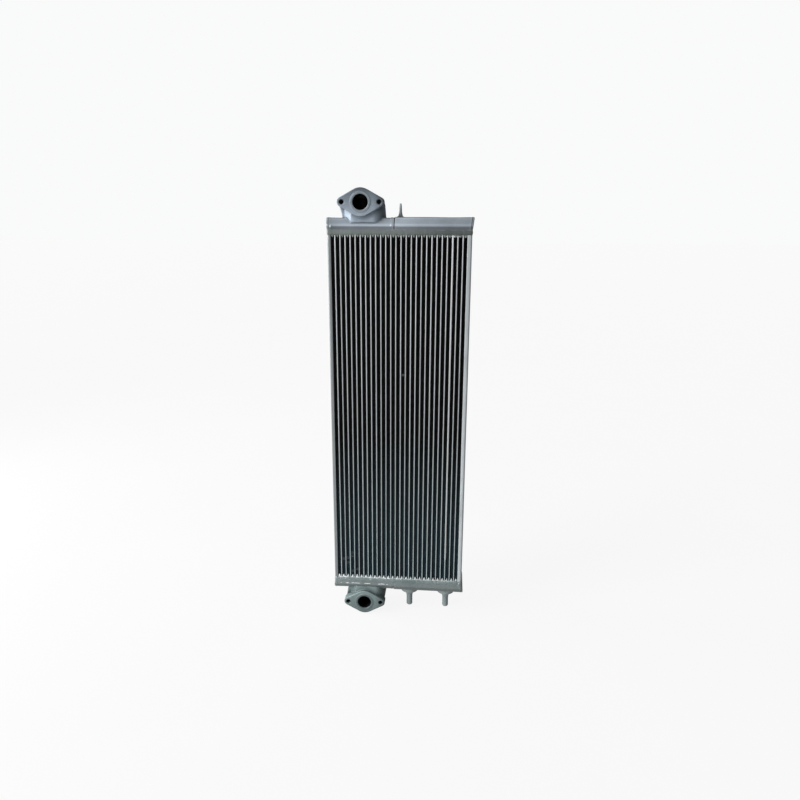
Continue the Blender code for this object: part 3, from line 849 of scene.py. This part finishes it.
def build_tank(prefix, side, paints, weld):
    # bent sections
    crevice = CREVICE[side]
    for name, rise, end, start in (
        ("port", PORT_RISE, -1, SEAM_X - crevice),
        ("plain", PLAIN_RISE, 1, SEAM_X + crevice),
    ):
        shell = Shell()
        outline = tank_line(rise) + tank_line(rise, WALL)[::-1]
        count = 34
        rings = []
        for i in range(count + 1):
            share = i / count
            ring = []
            for y, height in outline:
                x = start + (leaned(end * SECTION_END[end], end, height) - start) * share
                calm = min(1.0, 6 * share, 6 * (1 - share))
                dent = rough(Vector((x, y, height * 2 + side)), 0.055, 0.0006, 3)
                dent = abs(dent) * calm * (height > 0.004)
                ring.append(Vector((x, y * (1 - dent * 4), side * (TANK_FOOT + height - dent))))
            rings.append(ring)
        shell.skin(rings, ends="strip")
        nodes = (f"{prefix}_tank_{name}_section",)
        piece(f"{prefix}_tank_{name}_shell", shell, [paints[name]], nodes, smooth=60)

    # end caps, with a rounded outer edge, and the weld that joins each to its section
    for name, section, rise, end in (("left", "port", PORT_RISE, -1), ("right", "plain", PLAIN_RISE, 1)):
        line = tank_line(rise)
        reach = CAP_FOOT[end]
        rings = []
        for x, inset in (
            (reach - 0.0042, 0.0), (reach - 0.0020, 0.0),
            (reach - 0.0008, 0.0004), (reach - 0.0002, 0.0010), (reach, 0.0018),
        ):
            ring = []
            for y, height in line:
                y *= 1 - inset / TANK_HALF_DEPTH
                height *= 1 - inset / rise
                ring.append(Vector((leaned(end * x, end, height), y, side * (TANK_FOOT + height))))
            rings.append(ring)
        shell = Shell()
        shell.skin(rings)
        nodes = (f"{prefix}_tank_cap_{name}",)
        piece(f"{prefix}_tank_end_{name}", shell, [paints[section]], nodes, smooth=50)

        seam = end * (reach - 0.0044)
        path = edge_bead_line(line, side, lambda height: leaned(seam, end, height), 0.0002)
        beads = Shell()
        bead(beads, path, 0.0018, 0.0006, seed=end * 3 + side)
        piece(f"{prefix}_tank_end_weld_{name}", beads, [weld], smooth=60)

    # the weld that joins the tank to the core runs right round it
    depth = TANK_HALF_DEPTH - 0.0006
    level = side * (TEETH + 0.0062)
    corners = (0.0002 - CAP_FOOT[-1], -depth), (CAP_FOOT[1] - 0.0002, depth)
    loop = [(Vector((x, y, level)), out) for x, y, out in rounded_loop(*corners, 0.003, 4)]
    beads = Shell()
    bead(beads, loop, 0.0106, 0.0009, 0.0030, closed=True, seed=11 * side, sink=0.0016)
    piece(f"{prefix}_tank_core_weld", beads, [weld], smooth=60)

    # butt weld between the two sections, ground nearly flat, with an open crevice beside it
    path = edge_bead_line(tank_line(PORT_RISE), side, lambda height: SEAM_X - 0.0050, 0.0006)
    beads = Shell()
    bead(beads, path[2:-2], 0.0062, 0.0009, 0.0030, seed=5 * side)
    piece(f"{prefix}_tank_seam_weld", beads, [paints["port"]], smooth=60)


def build_bright_welds():
    """Weld beads given pale colours as painted highlights: broken beads and the toe of the core weld along
    the bottom tank, a drip at its right end, and a blob at the left end of the top tank.
    """
    shell = Shell()
    downward = Vector((0, -1, -0.25)).normalized()
    for start, end in (
        (-0.137, -0.134), (-0.125, -0.115), (-0.110, -0.089), (-0.080, -0.064), (-0.047, -0.030),
        (-0.027, -0.022),
    ):
        path = []
        for step in range(9):
            x = start + (end - start) * step / 8
            height = 0.0076 + rough(Vector((x, 0, 0)), 0.014, 0.0010)
            path.append((Vector((x, -TANK_HALF_DEPTH + 0.0002, -(TANK_FOOT + height))), downward))
        bead(shell, path, 0.0022, 0.0006, 0.0018, seed=start * 90)

    # the upper toe of the weld between core and bottom tank
    front = Vector((0, -1, 0.35)).normalized()
    path = []
    for step in range(121):
        x = -HALF_STACK + 2 * HALF_STACK * step / 120
        height = TEETH + 0.0025 + rough(Vector((x, 0, 7)), 0.012, 0.0006)
        path.append((Vector((x, -CORE.y + 0.0006, -height)), front))
    bead(shell, path, 0.0064, 0.0012, 0.0026, seed=4)
    right = CAP_FOOT[1] - 0.005
    path = [
        (Vector((right - 0.003 * share, -TANK_HALF_DEPTH + 0.0004, -(TEETH + 0.001 + 0.010 * share))), front)
        for share in (0, 0.25, 0.5, 0.75, 1)
    ]
    bead(shell, path, 0.0026, 0.0010, 0.0022, seed=9)
    piece("bright_weld_metal", shell, [BRIGHT_WELD], smooth=60)

    shell = Shell()
    left = 0.005 - CAP_FOOT[-1]
    path = [
        (Vector((left + 0.004 * share, -TANK_HALF_DEPTH + 0.0004, TANK_FOOT + 0.006 + 0.006 * share)), front)
        for share in (0, 0.25, 0.5, 0.75, 1)
    ]
    bead(shell, path, 0.0048, 0.0012, 0.0026, seed=12)
    piece("top_left_weld_blob", shell, [DULL_WELD], smooth=60)


# ---- ports -------------------------------------------------------------------------------------------


def surface_height(y, rise):
    """Height of a tank's outer surface above its foot at a distance y from the middle."""
    return min(rise, rise - (abs(y) - (TANK_HALF_DEPTH - SHOULDER)))


def recolour_faces(obj, material, inside):
    """Gives a second material to the faces whose middle passes a test."""
    obj.data.materials.append(material)
    for face in obj.data.polygons:
        if inside(face.center - CENTRE):
            face.material_index = 1


def build_port(prefix, side, cast, weld, turned):
    """The casting, its machined land, the threads of its bolt holes and the weld round its foot."""
    casting = softened(f"{prefix}_port_casting", f"{prefix}_port", 0.0008, 5, cast)
    low, high = local_box(f"{prefix}_port")
    bore_z = side * (max(abs(low.z), abs(high.z)) - PORT_HALF_HUB)
    face = low.y  # front of the machined land

    def in_passage(point):
        if point.y < face + 0.0026 or point.y > 0.02:
            return False
        from_bore = math.hypot(point.x - PORT_X, point.z - bore_z)
        from_bolt = math.hypot(abs(point.x - PORT_X) - BOLT_OFFSET, point.z - bore_z)
        from_drop = math.hypot(point.x - PORT_X, point.y - DROP_Y)
        down = abs(point.z) < abs(bore_z) + BORE_RADIUS
        return (
            (from_bore < BORE_RADIUS + 0.0008 and point.y < DROP_Y + 0.002)
            or (from_bolt < BOLT_RADIUS + 0.0006 and point.y < 0)
            or (from_drop < DROP_RADIUS + 0.0006 and down)
        )

    # painted shade: the bore, bolt holes and drop into the tank take the near-black bore colour
    recolour_faces(casting, BORE_SHADE, in_passage)

    ring = Shell()
    land = [
        (LAND_RADIUS + 0.0002, 0.0016), (LAND_RADIUS, 0.0003), (LAND_RADIUS - 0.0004, 0.0),
        (BORE_RADIUS + 0.0006, 0.0), (BORE_RADIUS - 0.0004, 0.0008), (BORE_RADIUS - 0.0004, 0.0026),
        (BORE_RADIUS + 0.0010, 0.0030),
    ]
    ring.lathe(land, Vector((PORT_X, face, bore_z)), (0, 1, 0), 72)
    piece(f"{prefix}_port_land", ring, [turned], smooth=30)

    threads = Shell()
    thread_pitch = 0.00175  # M12
    start = 0.0010
    for hand in (-1, 1):
        profile = [(BOLT_RADIUS + 0.0009, start), (BOLT_RADIUS - 0.0001, start + 0.0010)]
        for turn in range(7):
            depth = start + 0.0014 + turn * thread_pitch
            profile += [(BOLT_RADIUS - 0.0008, depth), (BOLT_RADIUS - 0.0001, depth + thread_pitch / 2)]
        end = profile[-1][1]
        profile += [(BOLT_RADIUS + 0.0009, end)]
        threads.lathe(profile, Vector((PORT_X + hand * BOLT_OFFSET, face, bore_z)), (0, 1, 0), 32)
    piece(f"{prefix}_port_threads", threads, [THREAD], smooth=20)

    # weld round the casting's foot, which follows the bend of the tank
    left, right = FOOT[side]
    ahead, behind = FLAT
    flat_out = Vector((behind.y - ahead.y, ahead.x - behind.x, 0)).normalized() * -1
    loop = []
    for x, y, away in rounded_loop((PORT_X + left, FOOT_FRONT), (PORT_X + right, FOOT_BACK), 0.022, 12):
        place = Vector((x, y, 0))
        share = (y - ahead.y) / (behind.y - ahead.y)
        flat_x = PORT_X + ahead.x + (behind.x - ahead.x) * share
        if share < 1 and x < flat_x:  # the casting's front left corner is cut off by a flat
            place.x = flat_x
            away = flat_out
        place.z = side * (TANK_FOOT + surface_height(place.y, PORT_RISE))
        loop.append((place, (away + Vector((0, 0, side))).normalized()))
    beads = Shell()
    bead(beads, loop, 0.0040, 0.0009, 0.0026, closed=True, seed=side * 7, sink=0.0024)
    piece(f"{prefix}_port_weld", beads, [weld], smooth=60)


# ---- lug and pins ------------------------------------------------------------------------------------


def build_lug():
    """The lug as a forging, and the weld at its foot."""
    softened("mounting_lug_forging", "mounting_lug", 0.0005, 5, LUG_PAINT)
    low, high = LUG
    outline = rounded_rectangle((low.x, low.y), (high.x, high.y), 0.002, 3)
    middle = (low + high) / 2
    loop = []
    for x, y in outline:
        away = Vector((x - middle.x, (y - middle.y) * 0.4, 0)).normalized()
        loop.append((Vector((x, y, low.z)), (away + Vector((0, 0, 1))).normalized()))
    beads = Shell()
    bead(beads, loop, 0.0032, 0.0008, 0.0020, closed=True, seed=2, sink=0.0012)
    piece("mounting_lug_weld", beads, [WELD_TOP], smooth=60)


def build_pin(name):
    """A turned pin: a wide boss that necks down to a shank with a rounded tip, and its weld."""
    low, high = local_box(name)
    centre = Vector(((low.x + high.x) / 2, (low.y + high.y) / 2, high.z))
    length = high.z - low.z
    boss = (high.x - low.x) / 2 - 0.0015
    shank, boss_height, neck = 0.0072, 0.017, 0.036
    profile = [(0.0004, 0.001), (boss + 0.0015, 0.001), (boss, -boss_height)]
    steps = 14
    for step in range(1, steps + 1):
        angle = math.pi / 2 * step / steps
        radius = boss - (boss - shank) * math.sin(angle)
        profile.append((radius, -boss_height - (neck - boss_height) * (1 - math.cos(angle))))
    for level in range(1, 7):
        profile.append((shank - 0.0001 * (level % 2), -neck - (length - 0.004 - neck) * level / 7))
    tip = 0.0035
    for step in range(7):
        angle = math.pi / 2 * step / 6
        profile.append((shank - tip + tip * math.cos(angle), -(length - tip) - tip * math.sin(angle)))
    profile.append((0.0004, -length))
    shell = Shell()
    shell.lathe(profile, centre, (0, 0, 1), 56)
    piece(f"{name}_turned", shell, [PIN_PAINT], (name,), smooth=40)

    beads = Shell()
    loop = []
    for step in range(24):
        angle = math.tau * step / 24
        away = Vector((math.cos(angle), math.sin(angle), 0))
        loop.append((centre + away * (boss + 0.0015), (away + Vector((0, 0, -1))).normalized()))
    bead(beads, loop, 0.0040, 0.0010, 0.0024, closed=True, seed=centre.x * 50, sink=0.0018)
    piece(f"{name}_weld", beads, [WELD_BOTTOM], smooth=60)


# ---- camera, floor and light -------------------------------------------------------------------------


CAMERA_PLACE = Vector((0.113, -1.435, 0.414))  # from the middle of the core, as fitted to the photo
CAMERA_PITCH, CAMERA_TURN, CAMERA_ROLL = 14.9, -4.48, 0.26
CAMERA_LENS = 29.25
FLOOR_GLOW = 0.89  # keeps the floor pale and its shadow faint


def build_camera():
    data = bpy.data.cameras.new("camera")
    data.sensor_width = 36
    data.lens = CAMERA_LENS
    camera = link(bpy.data.objects.new("camera", data))
    camera.location = CENTRE + CAMERA_PLACE
    pitch, turn, roll = (math.radians(angle) for angle in (CAMERA_PITCH, CAMERA_TURN, CAMERA_ROLL))
    ahead = Vector((math.sin(turn) * math.cos(pitch), math.cos(turn) * math.cos(pitch), -math.sin(pitch)))
    level = Vector((math.cos(turn), -math.sin(turn), 0))
    up = level.cross(ahead)
    right = level * math.cos(roll) + up * math.sin(roll)
    up = right.cross(ahead)
    camera.matrix_world = Matrix.Translation(camera.location) @ Matrix(
        (right, up, -ahead)
    ).transposed().to_4x4()
    bpy.context.scene.camera = camera


def build_stage():
    """A plain pale floor at the height of the pins' tips."""
    low, _ = cad_box
    size = 40.0
    mesh = bpy.data.meshes.new("floor")
    corners = [(-size, -size), (size, -size), (size, size), (-size, size)]
    mesh.from_pydata([(x, y, low.z) for x, y in corners], [], [(0, 1, 2, 3)])
    finish = Finish("pale_floor", 0.0)
    colour = finish.ramp(finish.noise(3.0), [(0.3, (0.040,) * 3), (0.7, (0.045,) * 3)])
    finish.shader.inputs["Emission Color"].default_value = (1, 1, 1, 1)
    finish.shader.inputs["Emission Strength"].default_value = FLOOR_GLOW
    mesh.materials.append(finish.finish(colour, 0.9))
    floor = link(bpy.data.objects.new("floor", mesh))
    floor.visible_diffuse = False
    floor.visible_glossy = False
    floor.visible_shadow = False  # light reaches the cooler from below too, as in a white booth


def area_light(name, place, size, energy):
    data = bpy.data.lights.new(name, "AREA")
    data.shape = "RECTANGLE"
    data.size, data.size_y = size
    data.energy = energy
    light = link(bpy.data.objects.new(name, data))
    light.location = place
    light.rotation_euler = (CENTRE - Vector(place)).to_track_quat("-Z", "Y").to_euler()


def build_light():
    """A soft key from the upper left, three softboxes, and a room that is brighter on the left."""
    sun = bpy.data.lights.new("key", "SUN")
    sun.energy = 2.35
    sun.angle = math.radians(32)
    light = link(bpy.data.objects.new("key", sun))
    light.rotation_euler = Vector((0.78, 0.44, -0.52)).to_track_quat("-Z", "Y").to_euler()
    area_light("front_softbox", (-1.7, -1.9, 0.4), (1.0, 1.6), 15)
    area_light("side_softbox", (-2.2, 0.2, 0.5), (0.8, 1.4), 30)
    area_light("low_softbox", (-0.4, -2.3, -1.1), (1.8, 0.9), 5)

    world = bpy.data.worlds.new("studio")
    world.use_nodes = True
    bpy.context.scene.world = world
    nodes, links = world.node_tree.nodes, world.node_tree.links
    place = nodes.new("ShaderNodeTexCoord").outputs["Generated"]
    split = nodes.new("ShaderNodeSeparateXYZ")
    links.new(place, split.inputs[0])
    level = nodes.new("ShaderNodeMath")
    level.operation = "MULTIPLY_ADD"
    level.inputs[1].default_value = level.inputs[2].default_value = 0.5
    links.new(split.outputs["Z"], level.inputs[0])
    sky = nodes.new("ShaderNodeValToRGB")
    for element, (position, tone) in zip(
        (sky.color_ramp.elements[0], sky.color_ramp.elements.new(0.5), sky.color_ramp.elements[-1]),
        ((0.0, 0.36), (0.5, 0.15), (1.0, 0.34)),
    ):
        element.position = position
        element.color = (tone, tone, tone, 1)
    links.new(level.outputs[0], sky.inputs["Fac"])
    across = nodes.new("ShaderNodeMapRange")
    links.new(split.outputs["X"], across.inputs["Value"])
    for name, value in (("From Min", -1.0), ("From Max", 1.0), ("To Min", 1.40), ("To Max", 0.70)):
        across.inputs[name].default_value = value
    strength = nodes.new("ShaderNodeMath")
    strength.operation = "MULTIPLY"
    links.new(sky.outputs[0], strength.inputs[0])
    links.new(across.outputs[0], strength.inputs[1])
    room = nodes["Background"]
    room.inputs["Color"].default_value = (1, 1, 1, 1)
    links.new(strength.outputs[0], room.inputs["Strength"])
    backdrop = nodes.new("ShaderNodeBackground")  # what the camera sees behind the floor
    backdrop.inputs["Color"].default_value = (0.950, 0.955, 0.955, 1)
    seen = nodes.new("ShaderNodeLightPath").outputs["Is Camera Ray"]
    mix = nodes.new("ShaderNodeMixShader")
    links.new(seen, mix.inputs["Fac"])
    links.new(room.outputs[0], mix.inputs[1])
    links.new(backdrop.outputs[0], mix.inputs[2])
    links.new(mix.outputs[0], nodes["World Output"].inputs["Surface"])
    bpy.context.scene.view_settings.view_transform = "Standard"


build_bars()
build_end_bars(1, NOSE_TOP, "top_nosed_bars", 1.1, 1.1)
# the bottom noses are painted near white as the highlight on their upward faces
build_end_bars(-1, BRIGHT_WELD, "bottom_nosed_bars", 1.3, 1.45)
for fin_number in range(len(FINS)):
    build_fin(fin_number)
build_side_plates()
build_tank("top", 1, TOP_PAINT, WELD_TOP)
build_tank("bottom", -1, BOTTOM_PAINT, WELD_BOTTOM)
build_port("top", 1, CAST_TOP, FOOT_WELD, MACHINED_TOP)
build_port("bottom", -1, CAST_BOTTOM, WELD_BOTTOM, MACHINED_BOTTOM)
build_bright_welds()
build_lug()
build_pin("locating_pin_inner")
build_pin("locating_pin_outer")
build_camera()
build_stage()
build_light()
